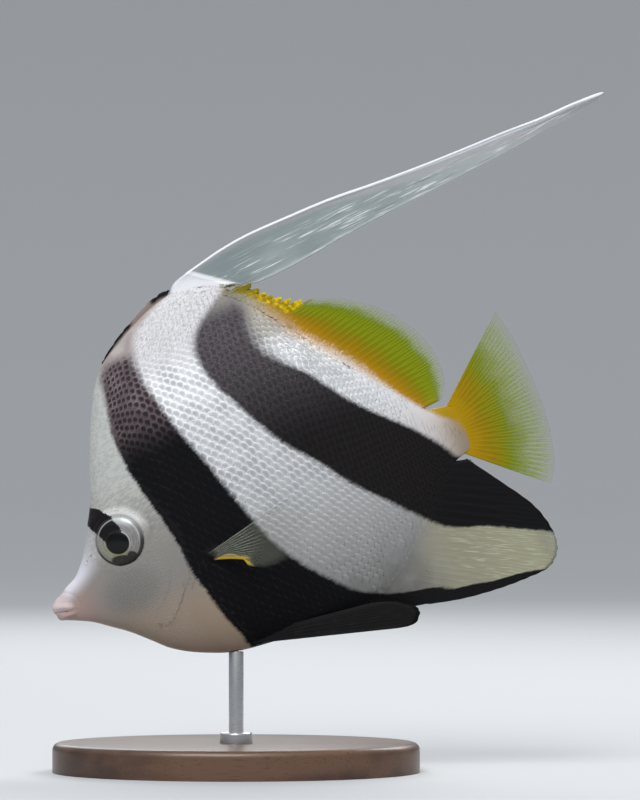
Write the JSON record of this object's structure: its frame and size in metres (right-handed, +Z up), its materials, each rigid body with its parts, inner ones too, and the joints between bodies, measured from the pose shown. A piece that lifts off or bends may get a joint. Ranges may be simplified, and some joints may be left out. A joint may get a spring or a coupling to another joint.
{
  "type": "pennant coralfish model",
  "caption": "Life-size still model of a banded coral reef fish with a long white pennant fin, held nose-down on a plain oval display stand.",
  "frame": {"origin": "centre of the flat underside of the stand's base, below the rod", "axes": "+Z up, -X the way the snout points, +Y the fish's right-hand side"},
  "size_m": [0.1863, 0.078, 0.2299],
  "materials": {
    "skin": "satin",
    "fin_white": "satin",
    "fin_yellow": "satin",
    "fin_black": "satin",
    "fin_clear": "satin",
    "eye": "gloss",
    "stand_wood": "satin",
    "stand_metal": "satin"
  },
  "bodies": {
    "root": {"head": "skin", "torso": "skin", "tail_peduncle": "skin", "eye_left": "eye", "eye_right": "eye", "pennant": "fin_white", "dorsal_fin": "fin_yellow", "caudal_fin": "fin_yellow", "anal_fin": "fin_white", "dorsal_spines_front": "fin_black", "pectoral_fin_left": "fin_clear", "pectoral_fin_right": "fin_clear", "pelvic_fin_left": "fin_black", "pelvic_fin_right": "fin_black", "stand_base": "stand_wood", "stand_rod": "stand_metal", "stand_collar": "stand_metal"}
  },
  "joints": []
}
